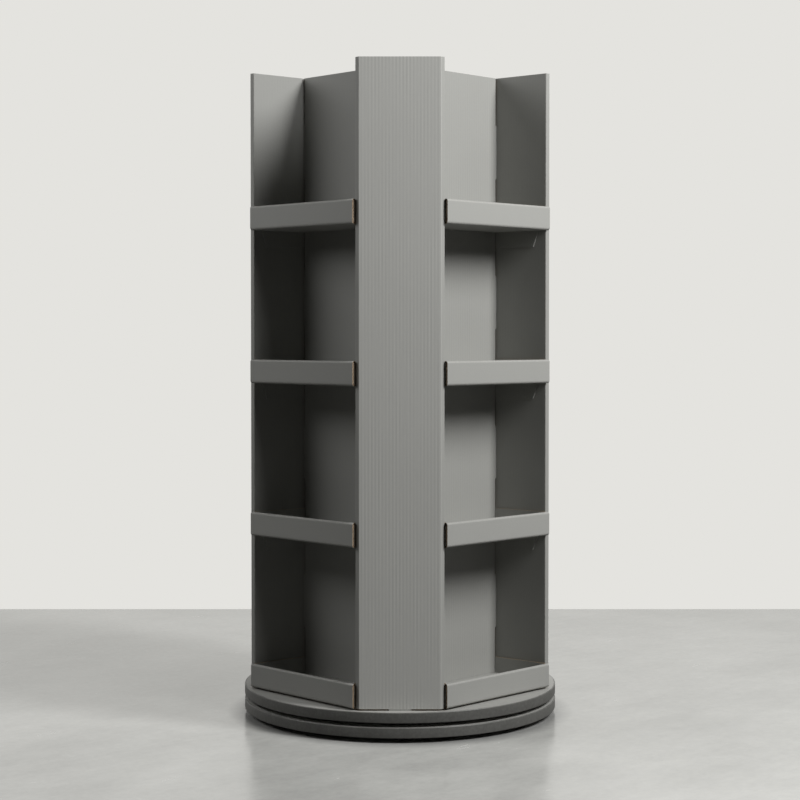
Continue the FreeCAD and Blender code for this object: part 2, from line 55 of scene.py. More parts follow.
bay = {
    "foot": panelLow.z,
    "top": panelHigh.z,
    "rear": panelHigh.y,            # printed face of the back panel
    "front": postHigh.x,            # front plane of the narrow strips
    "halfBack": 0.1243,             # half-width between the side walls at the back panel
    "lipOverlap": 0.0015,           # lip over each strip
    "strip": 0.0095,
    "flange": 0.030,
    "glueGap": 0.00005,
    "fitGap": 0.0002,
}
bay["halfOpen"] = trayHigh.x - bay["lipOverlap"]
bay["slope"] = (bay["halfOpen"] - bay["halfBack"]) / (bay["front"] - bay["rear"])

flute = {
    "thick": panelHigh.y - panelLow.y,
    "pitch": 0.0062,
    "samples": 8,                   # points along one flute
    "liner": 0.00035,
    "medium": 0.00028,
    "ripple": 0.00003,              # flutes showing through the liner
    "cutDeep": 0.004,               # how deep a cut edge shows its flutes
    "foldSteps": 8,
    "foldShare": 0.96,              # share of a fold's room that the sheet may fill
    "freeRoom": 1.0,                # room where no fold limits the sheet
}
fluteStep = flute["pitch"] / flute["samples"]

sides = {"north": 0, "west": 90, "south": 180, "east": 270}
corners = {"north_east": 0, "north_west": 90, "south_west": 180, "south_east": 270}
tierCount = sum(name.startswith("tray_north_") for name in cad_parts)
printed, kraftCut, kraftLiner, paintedLightFace = 0, 1, 2, 3     # material slots of a sheet
# Slot for the cut edges inside a tray's rolled lip, which are painted near-black as shade.
paintedShadeCut = 2                               # a tray has this slot in place of the liner
straightTurn = 1e-6                         # radians below which a corner is left as it is
sameDigits = 7                              # decimals to which a shared point agrees
turnDigits = 12                             # decimals kept of the sine and cosine of a turn


def wallAt(y):
    return bay["halfOpen"] - (bay["front"] - y) * bay["slope"]


# Line through corners, each rounded with its own radius: straight runs are even steps and a left
# turn's arc is its centre + radius * (sin, -cos) of the heading. Beside the points it gives their
# normals to the left, the length run, a bend mask and room, which is how deep a sheet can be there
# before its two sides meet on the fold's bisector.
def roundedLine(cornerPoints, radii):
    cornerPoints = np.asarray(cornerPoints, float)
    legs = np.diff(cornerPoints, axis=0)
    lengths = np.linalg.norm(legs, axis=1)
    headings = np.arctan2(legs[:, 1], legs[:, 0])
    turns = (np.diff(headings) + math.pi) % (2 * math.pi) - math.pi
    turns = np.concatenate([[0], turns, [0]])
    reaches = np.array(radii) * np.tan(np.abs(turns) / 2)
    points, angles, bends, rooms = [], [], [], []
    for leg, (length, heading) in enumerate(zip(lengths, headings)):
        along = legs[leg] / length
        count = max(2, int(round((length - reaches[leg] - reaches[leg + 1]) / fluteStep)) + 1)
        t = np.linspace(reaches[leg], length - reaches[leg + 1], count)
        room = np.full(count, flute["freeRoom"])
        for place, distance in ((leg, t), (leg + 1, length - t)):
            if turns[place] > 0:
                room = np.minimum(room, distance / math.tan(turns[place] / 2))
        points.append(cornerPoints[leg] + along * t[:, None])
        angles.append(np.full(count, heading))
        bends.append(np.zeros(count))
        rooms.append(room)
        turn, radius = turns[leg + 1], radii[leg + 1]
        if abs(turn) > straightTurn:
            hand = math.copysign(1, turn)
            centre = points[-1][-1] + np.array([-along[1], along[0]]) * radius * hand
            sweep = heading + np.linspace(0, turn, flute["foldSteps"] + 1)[1:-1]
            points.append(centre + radius * hand * np.stack([np.sin(sweep), -np.cos(sweep)], 1))
            angles.append(sweep)
            bends.append(np.ones(len(sweep)))
            rooms.append(np.full(len(sweep), radius if hand > 0 else flute["freeRoom"]))
    points, angles = np.concatenate(points), np.concatenate(angles)
    run = np.concatenate([[0], np.cumsum(np.linalg.norm(np.diff(points, axis=0), axis=1))])
    return {"points": points, "left": np.stack([-np.sin(angles), np.cos(angles)], 1), "run": run,
            "bend": np.concatenate(bends), "room": np.concatenate(rooms)}


# Straight line whose sheet lies on the side that behind points to.
def flatLine(start, end, behind, startRun=0.0):
    line = roundedLine([start, end], [0, 0])
    line["run"] = line["run"] + startRun
    if np.dot(line["left"][0], behind) < 0:
        line["left"] = -line["left"]
    return line


# A line's points lie in plan and are carried up, or lie in the Y Z section and are carried across.
def carriedUp(flat, along):
    return np.concatenate([flat, np.asarray(along)[..., None]], -1)


def carriedAcross(flat, along):
    return np.concatenate([np.asarray(along)[..., None], flat], -1)


# One grid of quads, rows by columns. Its UV is in metres, along and across the sheet.
def grid(points, along, across, wear, slot):
    shape = points.shape[:2]
    index = np.arange(shape[0] * shape[1]).reshape(shape)
    quads = np.stack([index[:-1, :-1], index[1:, :-1], index[1:, 1:], index[:-1, 1:]], -1)
    quads = quads.reshape(-1, 4)
    uv = np.stack([np.broadcast_to(along, shape), np.broadcast_to(across, shape)], -1).reshape(-1, 2)
    wear = np.broadcast_to(wear, shape).reshape(-1).astype(float)
    return {"points": points.reshape(-1, 3), "quads": quads, "uv": uv[quads.reshape(-1)],
            "wear": wear, "slot": np.full(len(quads), slot)}


# Grids that share edges become one closed island: points that are equal to 0.1 micrometre merge.
def weld(grids):
    points = np.concatenate([part["points"] for part in grids])
    starts = np.cumsum([0] + [len(part["points"]) for part in grids[:-1]])
    quads = np.concatenate([part["quads"] + start for part, start in zip(grids, starts)])
    wear = np.concatenate([part["wear"] for part in grids])
    rounded = np.round(points, sameDigits)
    first, same = np.unique(rounded, axis=0, return_index=True, return_inverse=True)[1:]
    merged = np.zeros(len(first))
    np.maximum.at(merged, same.reshape(-1), wear)
    return {"points": points[first], "quads": same.reshape(-1)[quads], "wear": merged,
            "uv": np.concatenate([part["uv"] for part in grids]),
            "slot": np.concatenate([part["slot"] for part in grids])}


# Closed slab between two matching grids of points: the two faces and the four edges.
def slab(front, back, along, across, wear, slots):
    grids = [grid(front, along, across, wear, slots[0]), grid(back, along, across, wear, slots[1])]
    along, across = (np.broadcast_to(value, front.shape[:2]) for value in (along, across))
    for rim in (np.s_[0, :], np.s_[-1, :], np.s_[:, 0], np.s_[:, -1]):
        edge = np.stack([front[rim], back[rim]], 1)
        grids.append(grid(edge, along[rim][:, None], across[rim][:, None], 0, slots[2]))
    return weld(grids)


# Corrugated sheet along a line, carried from low to high. Its faces ripple as
# ripple * cos(2 pi run / pitch). Within cutDeep of a cut edge it is three thin slabs instead: two
# liners, and between them the medium, whose depth is middle + swing * sin(2 pi run / pitch).
# In a fold every depth shrinks to the room that the fold leaves.
def corrugated(line, low, high, carried, slots=(printed, printed), cutLow=False, cutHigh=False,
               ripple=1.0):
    thick, liner, medium = flute["thick"], flute["liner"], flute["medium"]
    count = len(line["run"])
    phase = 2 * np.pi * line["run"] / flute["pitch"]
    wave = flute["ripple"] * ripple * np.cos(phase) * (1 - line["bend"])
    swing = (thick - 2 * liner - medium) / 2
    core = thick / 2 + swing * np.sin(phase)
    squeeze = np.minimum(1, flute["foldShare"] * line["room"] / thick)
    low, high = np.broadcast_to(low, count).astype(float), np.broadcast_to(high, count).astype(float)
    lowStop, highStop = low + flute["cutDeep"] * cutLow, high - flute["cutDeep"] * cutHigh

    def layer(outer, inner, start, stop, faces):
        across = np.stack([start, stop], 1)
        skins = [line["points"] + line["left"] * (depth * squeeze)[:, None] for depth in (outer, inner)]
        front, back = (np.stack([carried(skin, start), carried(skin, stop)], 1) for skin in skins)
        return slab(front, back, line["run"][:, None], across, line["bend"][:, None], (*faces, kraftCut))

    islands = [layer(wave, thick - wave, lowStop, highStop, slots)]
    for shown, start, stop in ((cutLow, low, lowStop), (cutHigh, highStop, high)):
        if shown:
            islands.append(layer(wave, liner + wave, start, stop, (slots[0], kraftCut)))
            islands.append(layer(thick - liner - wave, thick - wave, start, stop, (kraftCut, slots[1])))
            islands.append(layer(core - medium / 2, core + medium / 2, start, stop, (kraftCut, kraftCut)))
    return islands


# Islands become one mesh, turned about Z and lifted to its place. A quad whose corners merged
# is written as a triangle. Normals are recalculated to point outwards.
def makePiece(name, islands, materials, turn=0, lift=0.0, sharp=35.0):
    starts = np.cumsum([0] + [len(part["points"]) for part in islands[:-1]])
    points = np.concatenate([part["points"] for part in islands])
    quads = np.concatenate([part["quads"] + start for part, start in zip(islands, starts)])
    uv = np.concatenate([part["uv"] for part in islands]).reshape(-1, 4, 2)
    slots = np.concatenate([part["slot"] for part in islands])
    cosTurn = round(math.cos(math.radians(turn)), turnDigits)
    sinTurn = round(math.sin(math.radians(turn)), turnDigits)
    x, y = points[:, 0].copy(), points[:, 1].copy()
    points[:, 0], points[:, 1] = x * cosTurn - y * sinTurn, x * sinTurn + y * cosTurn
    points[:, 2] += lift
    kept = quads != np.roll(quads, -1, axis=1)
    whole = kept.sum(1) >= 3
    kept &= whole[:, None]
    sizes = kept.sum(1)[whole]
    mesh = bpy.data.meshes.new(name)
    mesh.vertices.add(len(points))
    mesh.vertices.foreach_set("co", points.astype(np.float32).reshape(-1))
    mesh.loops.add(int(sizes.sum()))
    mesh.loops.foreach_set("vertex_index", quads[kept].astype(np.int32))
    mesh.polygons.add(len(sizes))
    loopStarts = np.concatenate([[0], np.cumsum(sizes)[:-1]])
    mesh.polygons.foreach_set("loop_start", loopStarts.astype(np.int32))
    mesh.polygons.foreach_set("material_index", slots[whole].astype(np.int32))
    mesh.update(calc_edges=True)
    mesh.uv_layers.new(name="sheetUv").data.foreach_set("uv", uv[kept].astype(np.float32).reshape(-1))
    wear = mesh.attributes.new("wear", "FLOAT", "POINT")
    wear.data.foreach_set("value", np.concatenate([part["wear"] for part in islands]).astype(np.float32))
    mesh.validate()
    work = bmesh.new()
    work.from_mesh(mesh)
    bmesh.ops.recalc_face_normals(work, faces=work.faces)
    work.to_mesh(mesh)
    work.free()
    mesh.shade_smooth()
    mesh.set_sharp_from_angle(angle=math.radians(sharp))
    for material in materials:
        mesh.materials.append(material)
    piece = bpy.data.objects.new(name, mesh)
    bpy.context.scene.collection.objects.link(piece)
    return piece


def camelName(words):
    first, *others = words.split("_")
    return first + "".join(word[:1].upper() + word[1:] for word in others)


def placePiece(piece, body, node):
    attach(piece, body)
    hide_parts(node)


nodeLayout = {"columns": 12, "wide": 170, "high": 220}


# Shader nodes. addNode sets properties, and wire joins or sets one input.
def addNode(tree, kind, inputs=None, **settings):
    made = tree.nodes.new(kind)
    row, column = divmod(len(tree.nodes), nodeLayout["columns"])
    made.location = (nodeLayout["wide"] * column, -nodeLayout["high"] * row)
    for name, value in settings.items():
        setattr(made, name, value)
    for name, value in (inputs or {}).items():
        wire(tree, value, made.inputs[name])
    return made


def wire(tree, value, socket):
    if isinstance(value, bpy.types.NodeSocket):
        tree.links.new(value, socket)
    else:
        socket.default_value = value


def maths(tree, operation, first, second=0.0):
    return addNode(tree, "ShaderNodeMath", {0: first, 1: second}, operation=operation).outputs[0]


def spread(tree, value, low, high, toLow=0.0, toHigh=1.0):
    sockets = {"Value": value, "From Min": low, "From Max": high, "To Min": toLow, "To Max": toHigh}
    return addNode(tree, "ShaderNodeMapRange", sockets).outputs[0]


# Noise centred on zero, in object space, stretched by a scale for each axis.
def noise(tree, place, scale, detail, rough, stretch=None):
    if stretch:
        place = addNode(tree, "ShaderNodeMapping", {"Vector": place, "Scale": stretch}).outputs[0]
    sockets = {"Vector": place, "Scale": scale, "Detail": detail, "Roughness": rough}
    return maths(tree, "SUBTRACT", addNode(tree, "ShaderNodeTexNoise", sockets).outputs["Fac"], 0.5)


def startGroup(name, inputs, outputs):
    tree = bpy.data.node_groups.new(name, "ShaderNodeTree")
    for label, value in inputs.items():
        kind = "NodeSocketVector" if value is None else "NodeSocketFloat"
        socket = tree.interface.new_socket(label, in_out="INPUT", socket_type=kind)
        if value is not None:
            socket.default_value = value
    for label in outputs:
        tree.interface.new_socket(label, in_out="OUTPUT", socket_type="NodeSocketFloat")
    return tree, addNode(tree, "NodeGroupInput").outputs, addNode(tree, "NodeGroupOutput").inputs


# Effects that several materials share. A noise is its scale, detail and roughness. A range is the
# two ends that a value is spread from, and then those it is spread to, where they aren't 0 and 1.
effects = {
    "drift": (60.0, 3.0, 0.6), "driftStretch": (1, 1, 0.08), "driftRange": (-0.2, 0.2, 0.2, 1.8),
    "fibre": (1500.0, 4.0, 0.7), "fibreStretch": (1, 1, 0.3),
    "mottle": (240.0, 4.0, 0.65), "mottleHeight": 0.6,
    "patch": (6.0, 3.0, 0.55),
    "rub": (190.0, 5.0, 0.75), "rubRange": (-0.06, 0.16),
    "dust": (38.0, 5.0, 0.7), "dustRange": (-0.12, 0.22), "dustSlope": (0.2, 0.95), "dustLow": 0.5,
}


# Painted shade of the flutes telegraphing through the printed liner: sin(2 pi along / pitch), its strength
# drifting.
def makeFluteShadeGroup():
    inputs = {"Sheet": None, "Place": None, "Pitch": flute["pitch"]}
    tree, given, out = startGroup("fluteLines", inputs, ["Shade"])
    along = addNode(tree, "ShaderNodeSeparateXYZ", {0: given["Sheet"]}).outputs["X"]
    turns = maths(tree, "DIVIDE", along, given["Pitch"])
    swing = maths(tree, "SINE", maths(tree, "MULTIPLY", turns, 2 * math.pi))
    drift = noise(tree, given["Place"], *effects["drift"], effects["driftStretch"])
    wire(tree, maths(tree, "MULTIPLY", swing, spread(tree, drift, *effects["driftRange"])), out["Shade"])
    return tree


# Paper: fibres, a fine mottle and slow patches, all centred on zero.
def makePaperGroup():
    inputs = {"Place": None, "Fibre": 1.0, "Mottle": 1.0, "Patch": 1.0}
    tree, given, out = startGroup("paperGrain", inputs, ["Tone", "Height"])
    fibre = noise(tree, given["Place"], *effects["fibre"], effects["fibreStretch"])
    mottle = noise(tree, given["Place"], *effects["mottle"])
    patch = noise(tree, given["Place"], *effects["patch"])
    tone = maths(tree, "MULTIPLY", fibre, given["Fibre"])
    tone = maths(tree, "ADD", tone, maths(tree, "MULTIPLY", mottle, given["Mottle"]))
    tone = maths(tree, "ADD", tone, maths(tree, "MULTIPLY", patch, given["Patch"]))
    wire(tree, tone, out["Tone"])
    height = maths(tree, "ADD", fibre, maths(tree, "MULTIPLY", mottle, effects["mottleHeight"]))
    wire(tree, height, out["Height"])
    return tree


# Rubbed folds and rims: the mask on the mesh, broken up by noise.
def makeWearGroup():
    tree, given, out = startGroup("rubbedEdge", {"Mask": 0.0, "Place": None, "Amount": 1.0}, ["Worn"])
    broken = spread(tree, noise(tree, given["Place"], *effects["rub"]), *effects["rubRange"])
    rubbed = maths(tree, "MULTIPLY", given["Mask"], broken)
    wire(tree, maths(tree, "MULTIPLY", rubbed, given["Amount"]), out["Worn"])
    return tree


# Dust that settles near the floor and in patches, more on faces that look up.
def makeDustGroup():
    inputs = {"Place": None, "Amount": 1.0, "Reach": 1.0}
    tree, given, out = startGroup("settledDust", inputs, ["Dust"])
    facing = addNode(tree, "ShaderNodeNewGeometry").outputs["Normal"]
    up = addNode(tree, "ShaderNodeSeparateXYZ", {0: facing}).outputs["Z"]
    upward = spread(tree, up, *effects["dustSlope"])
    height = addNode(tree, "ShaderNodeSeparateXYZ", {0: given["Place"]}).outputs["Z"]
    low = spread(tree, height, given["Reach"], 0.0)
    patches = spread(tree, noise(tree, given["Place"], *effects["dust"]), *effects["dustRange"])
    amount = maths(tree, "ADD", upward, maths(tree, "MULTIPLY", low, effects["dustLow"]))
    dust = maths(tree, "MULTIPLY", maths(tree, "MULTIPLY", amount, patches), given["Amount"])
    wire(tree, dust, out["Dust"])
    return tree


fluteShadeGroup, paperGroup = makeFluteShadeGroup(), makePaperGroup()
wearGroup, dustGroup = makeWearGroup(), makeDustGroup()


def useGroup(tree, group, **inputs):
    return addNode(tree, "ShaderNodeGroup", inputs, node_tree=group).outputs


def usePaper(tree, place, look):
    amounts = {"Fibre": look["fibre"], "Mottle": look["mottle"], "Patch": look["patch"]}
    return useGroup(tree, paperGroup, Place=place, **amounts)


def startMaterial(name, look):
    made = bpy.data.materials.new(name)
    made.use_nodes = True
    tree = made.node_tree
    shader = tree.nodes["Principled BSDF"]
    shader.inputs["Specular IOR Level"].default_value = look["specular"]
    shader.inputs["Metallic"].default_value = look.get("metal", 0.0)
    return made, tree, shader, addNode(tree, "ShaderNodeTexCoord").outputs["Object"]


# Base colour * (1 + tone), then mixed towards further colours by their masks. A colour mix has
# its two colours at inputs 6 and 7, and the mixed one at output 2.
def paint(tree, shader, base, tone, layers=()):
    lift = maths(tree, "ADD", tone, 1.0)
    color = addNode(tree, "ShaderNodeVectorMath", {0: base, "Scale": lift}, operation="SCALE").outputs[0]
    for mask, second in layers:
        mix = addNode(tree, "ShaderNodeMix", data_type="RGBA")
        wire(tree, mask, mix.inputs["Factor"])
        wire(tree, color, mix.inputs[6])
        wire(tree, (*second, 1), mix.inputs[7])
        color = mix.outputs[2]
    wire(tree, color, shader.inputs["Base Color"])


def roughen(tree, shader, rough, tone, amount):
    wire(tree, maths(tree, "ADD", maths(tree, "MULTIPLY", tone, amount), rough), shader.inputs["Roughness"])


def bump(tree, shader, height, distance):
    made = addNode(tree, "ShaderNodeBump", {"Height": height, "Distance": distance})
    wire(tree, made.outputs[0], shader.inputs["Normal"])


printLook = {"color": (0.300, 0.300, 0.283), "rubbed": (0.46, 0.45, 0.42), "dust": (0.42, 0.41, 0.38),
             "rough": 0.55, "specular": 0.25, "lines": 0.013, "fibre": 0.10, "mottle": 0.06, "patch": 0.06,
             "wear": 0.35, "grainHeight": 0.00005, "dusty": 0.12, "dustReach": 0.25, "roughSwing": 0.9}
# The post's face takes a paler copy of the grey print, which is painted light, with stronger painted flute
# shade.
paintedLightFaceLook = dict(printLook, color=(0.43, 0.43, 0.407), lines=0.085)
lipLook = dict(printLook, color=(0.324, 0.324, 0.306), lines=0.006)


def makePrint(name, look):
    made, tree, shader, place = startMaterial(name, look)
    sheet = addNode(tree, "ShaderNodeUVMap", uv_map="sheetUv").outputs[0]
    mask = addNode(tree, "ShaderNodeAttribute", attribute_name="wear").outputs["Fac"]
    paper = usePaper(tree, place, look)
    lines = useGroup(tree, fluteShadeGroup, Sheet=sheet, Place=place, Pitch=flute["pitch"])["Shade"]
    worn = useGroup(tree, wearGroup, Mask=mask, Place=place, Amount=look["wear"])["Worn"]
    dust = useGroup(tree, dustGroup, Place=place, Amount=look["dusty"], Reach=look["dustReach"])["Dust"]
    # The flute stripes are painted shade, added to the colour on top of the real ripple in the mesh.
    tone = maths(tree, "ADD", paper["Tone"], maths(tree, "MULTIPLY", lines, look["lines"]))
    paint(tree, shader, look["color"], tone, [(worn, look["rubbed"]), (dust, look["dust"])])
    roughen(tree, shader, look["rough"], paper["Tone"], look["roughSwing"])
    bump(tree, shader, paper["Height"], look["grainHeight"])
    return made


kraftLook = {"color": (0.52, 0.41, 0.29), "rough": 0.85, "specular": 0.2, "fibre": 0.5, "mottle": 0.35,
             "patch": 0.2, "grainHeight": 0.00012, "roughSwing": 0.3}
rawBoardLook = dict(kraftLook, color=(0.42, 0.31, 0.205), rough=0.8, mottle=0.7)
dividerLook = dict(kraftLook, color=(0.36, 0.24, 0.14))
# Near-black kraft: painted shade for the cut edges inside the tray's rolled lip.
paintedShadeKraftLook = dict(kraftLook, color=(0.055, 0.038, 0.024))


def makeKraft(name, look):
    made, tree, shader, place = startMaterial(name, look)
    paper = usePaper(tree, place, look)
    paint(tree, shader, look["color"], paper["Tone"])
    roughen(tree, shader, look["rough"], paper["Tone"], look["roughSwing"])
    bump(tree, shader, paper["Height"], look["grainHeight"])
    return made


laminateLook = {"color": (0.35, 0.35, 0.331), "rubbed": (0.44, 0.43, 0.40), "dust": (0.40, 0.39, 0.37),
                "rough": 0.5, "specular": 0.4, "fibre": 0.0, "mottle": 0.10, "patch": 0.06, "wear": 0.3,
                "dusty": 0.25, "dustReach": 0.06, "roughSwing": 0.25, "pebble": 0.00002,
                "pebbleNoise": (900.0, 2.0, 0.5)}
edgeLook = dict(laminateLook, color=(0.076, 0.076, 0.070), rubbed=(0.2, 0.2, 0.19), rough=0.42,
                specular=0.5)


def makeLaminate(name, look):
    made, tree, shader, place = startMaterial(name, look)
    mask = addNode(tree, "ShaderNodeAttribute", attribute_name="wear").outputs["Fac"]
    paper = usePaper(tree, place, look)
    worn = useGroup(tree, wearGroup, Mask=mask, Place=place, Amount=look["wear"])["Worn"]
    dust = useGroup(tree, dustGroup, Place=place, Amount=look["dusty"], Reach=look["dustReach"])["Dust"]
    pebble = noise(tree, place, *look["pebbleNoise"])
    paint(tree, shader, look["color"], paper["Tone"], [(worn, look["rubbed"]), (dust, look["dust"])])
    roughen(tree, shader, look["rough"], pebble, look["roughSwing"])
    bump(tree, shader, pebble, look["pebble"])
    return made


plasticLook = {"color": (0.022, 0.022, 0.023), "dust": (0.16, 0.155, 0.15), "rough": 0.5, "specular": 0.45,
               "grain": 0.00003, "grainNoise": (1100.0, 3.0, 0.6), "dusty": 0.5, "dustReach": 0.03,
               "roughSwing": 0.4}
nylonLook = dict(plasticLook, color=(0.68, 0.67, 0.62), dust=(0.5, 0.48, 0.43), rough=0.42, dusty=0.2)


def makePlastic(name, look):
    made, tree, shader, place = startMaterial(name, look)
    grain = noise(tree, place, *look["grainNoise"])
    dust = useGroup(tree, dustGroup, Place=place, Amount=look["dusty"], Reach=look["dustReach"])["Dust"]
    paint(tree, shader, look["color"], grain, [(dust, look["dust"])])
    roughen(tree, shader, look["rough"], grain, look["roughSwing"])
    bump(tree, shader, grain, look["grain"])
    return made


steelLook = {"color": (0.50, 0.50, 0.51), "rough": 0.32, "metal": 1.0, "specular": 0.5, "stain": 0.25,
             "grain": 0.00001, "stretch": (1, 1, 14), "brushed": 0.25, "brushNoise": (420.0, 4.0, 0.65),
             "stainNoise": (55.0, 5.0, 0.7), "roughSwing": 0.6}
zincLook = dict(steelLook, color=(0.58, 0.59, 0.60), rough=0.28, stretch=(1, 1, 1))


def makeMetal(name, look):
    made, tree, shader, place = startMaterial(name, look)
    brush = noise(tree, place, *look["brushNoise"], look["stretch"])
    stain = noise(tree, place, *look["stainNoise"])
    tone = maths(tree, "ADD", maths(tree, "MULTIPLY", brush, look["brushed"]),
                 maths(tree, "MULTIPLY", stain, look["stain"]))
    paint(tree, shader, look["color"], tone)
    roughen(tree, shader, look["rough"], tone, look["roughSwing"])
    bump(tree, shader, brush, look["grain"])
    return made


printMaterial = makePrint("greyPrint", printLook)
paintedLightFaceMaterial = makePrint("paleGreyPrint", paintedLightFaceLook)
lipMaterial = makePrint("plainGreyPrint", lipLook)
kraftMaterial = makeKraft("kraftCut", kraftLook)
linerMaterial = makeKraft("kraftLiner", dividerLook)
paintedShadeKraftMaterial = makeKraft("kraftDeep", paintedShadeKraftLook)
rawBoardMaterial = makeKraft("rawBoard", rawBoardLook)
laminateMaterial = makeLaminate("greyLaminate", laminateLook)
edgeMaterial = makeLaminate("edgeBand", edgeLook)
plasticMaterial = makePlastic("blackPlastic", plasticLook)
nylonMaterial = makePlastic("nylon", nylonLook)
steelMaterial = makeMetal("bearingSteel", steelLook)
zincMaterial = makeMetal("zincScrew", zincLook)
sheetMaterials = [printMaterial, kraftMaterial, linerMaterial, paintedLightFaceMaterial]
trayMaterials = [lipMaterial, kraftMaterial, paintedShadeKraftMaterial]
print("materials made:", len(bpy.data.materials))


postLook = {"fold": 0.0018, "rearFold": 0.0004, "tabHalf": 0.020, "tabDown": 0.0075, "faceDeep": 0.001}


# Corner post: flange, wall, strip, face, strip, wall and flange are one folded sheet. A tab goes
# down from the face, whose print is a paler copy of the rest: painted light on the face.
def makePost(corner, turn):
    flange = bay["rear"] - flute["thick"] - bay["glueGap"]
    east = [(flange, wallAt(flange) - bay["flange"]), (flange, wallAt(flange)),
            (bay["front"], bay["halfOpen"]), (bay["front"], bay["halfOpen"] + bay["strip"])]
    north = [(y, x) for x, y in reversed(east)]
    fold, rearFold = postLook["fold"], postLook["rearFold"]
    line = roundedLine(east + north, [0, rearFold, fold, fold, fold, fold, rearFold, 0])
    islands = corrugated(line, bay["foot"], bay["top"], carriedUp, (printed, kraftLiner), cutHigh=True)
    # Faces on the front plane take the paler copy of the print: painted light.
    facePlane = sum(east[3]) - postLook["faceDeep"]
    for island in islands:
        centre = island["points"][island["quads"]].mean(1)
        onFace = (centre[:, 0] + centre[:, 1] > facePlane) & (island["slot"] == printed)
        island["slot"] = np.where(onFace, paintedLightFace, island["slot"])
    middle = (np.array(east[3]) + np.array(north[0])) / 2
    half = np.array([1, -1]) / math.sqrt(2) * postLook["tabHalf"]
    tab = flatLine(middle + half, middle - half, -middle)
    tabLow = bay["foot"] - postLook["tabDown"]
    islands += corrugated(tab, tabLow, bay["foot"], carriedUp, (printed, kraftLiner))
    node = "post_" + corner
    placePiece(makePiece(camelName(node), islands, sheetMaterials, turn), "tower", node)


panelLook = {"gap": 0.0033, "tabUp": 0.102, "tabHigh": 0.102}


# Back panel: a flat sheet with a tab at each edge of each tier, and open joints between the tabs.
def makeBackPanel(side, turn):
    half, wide = bay["halfBack"] - panelLook["gap"], panelHigh.x
    rear = bay["rear"]
    sheet = flatLine((-half, rear), (half, rear), (0, -1))
    islands = corrugated(sheet, bay["foot"], bay["top"], carriedUp, (printed, kraftLiner), cutHigh=True)
    for tier in range(tierCount):
        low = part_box("tray_%s_%d" % (side, tier + 1))[0].z + panelLook["tabUp"]
        for start, end in ((-wide, -half), (half, wide)):
            tab = flatLine((start, rear), (end, rear), (0, -1), startRun=start + half)
            islands += corrugated(tab, low, low + panelLook["tabHigh"], carriedUp, (printed, kraftLiner))
    node = "back_panel_" + side
    placePiece(makePiece(camelName(node), islands, sheetMaterials, turn), "tower", node)


trayLook = {"fold": 0.005, "lipRipple": 0.5, "slack": 0.0003}


# Tray: floor, two side flaps, and a lip that goes up, rolls over and comes down again inside.
def makeTray(side, turn, tier):
    node = "tray_%s_%d" % (side, tier + 1)
    foot, thick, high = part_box(node)[0].z, flute["thick"], trayHigh.z - trayLow.z
    rear, front, half = bay["front"] + bay["fitGap"], trayHigh.y, trayHigh.x
    roll = (front - rear) / 2
    section = [(rear, 0), (front, 0), (front, high), (rear, high), (rear, thick + trayLook["slack"])]
    lip = roundedLine(section, [0, trayLook["fold"], roll, roll, 0])
    ripple = trayLook["lipRipple"]
    islands = corrugated(lip, -half, half, carriedAcross, cutLow=True, cutHigh=True, ripple=ripple)
    # Cut edges behind the lip's outer sheet take the near-black kraft: painted shade in the hollow of the
    # roll.
    for island in islands:
        depth = island["points"][island["quads"]].mean(1)[:, 1]
        inside = (island["slot"] == kraftCut) & (depth < front - thick)
        island["slot"] = np.where(inside, paintedShadeCut, island["slot"])
    near = bay["rear"] + bay["fitGap"]
    floor = flatLine((near, 0), (rear, 0), (0, 1))
    reach = wallAt(floor["points"][:, 0]) - bay["fitGap"]
    islands += corrugated(floor, -reach, reach, carriedAcross, ripple=0)
    for hand in (1, -1):
        ends = [(hand * (wallAt(y) - bay["fitGap"]), y) for y in (near, rear - bay["fitGap"])]
        flap = flatLine(*ends, (-hand, 0))
        islands += corrugated(flap, thick, high, carriedUp, cutHigh=True, ripple=ripple)
    piece = makePiece(camelName(node), islands, trayMaterials, turn, foot)
    placePiece(piece, "tower", node)


padLook = {"round": 0.0014, "steps": 6, "middle": 30, "sag": 0.0004, "ripple": 0.00006, "fade": 8,
           "wornShare": 0.02}


# Positions over a rounded slab, from one edge to the other: share of the half-width, push
# outwards round the edge, and drop of the surface there.
def roundedSpan(radius, steps, middle):
    arc = np.linspace(math.pi / 2, 0, steps)
    share = np.concatenate([-np.ones(steps), np.linspace(-1, 1, middle)[1:-1], np.ones(steps)])
    flat = np.zeros(middle - 2)
    push = np.concatenate([-radius * np.sin(arc), flat, radius * np.sin(arc[::-1])])
    drop = radius * (1 - np.cos(arc))
    return share, push, np.concatenate([drop, flat, drop[::-1]])


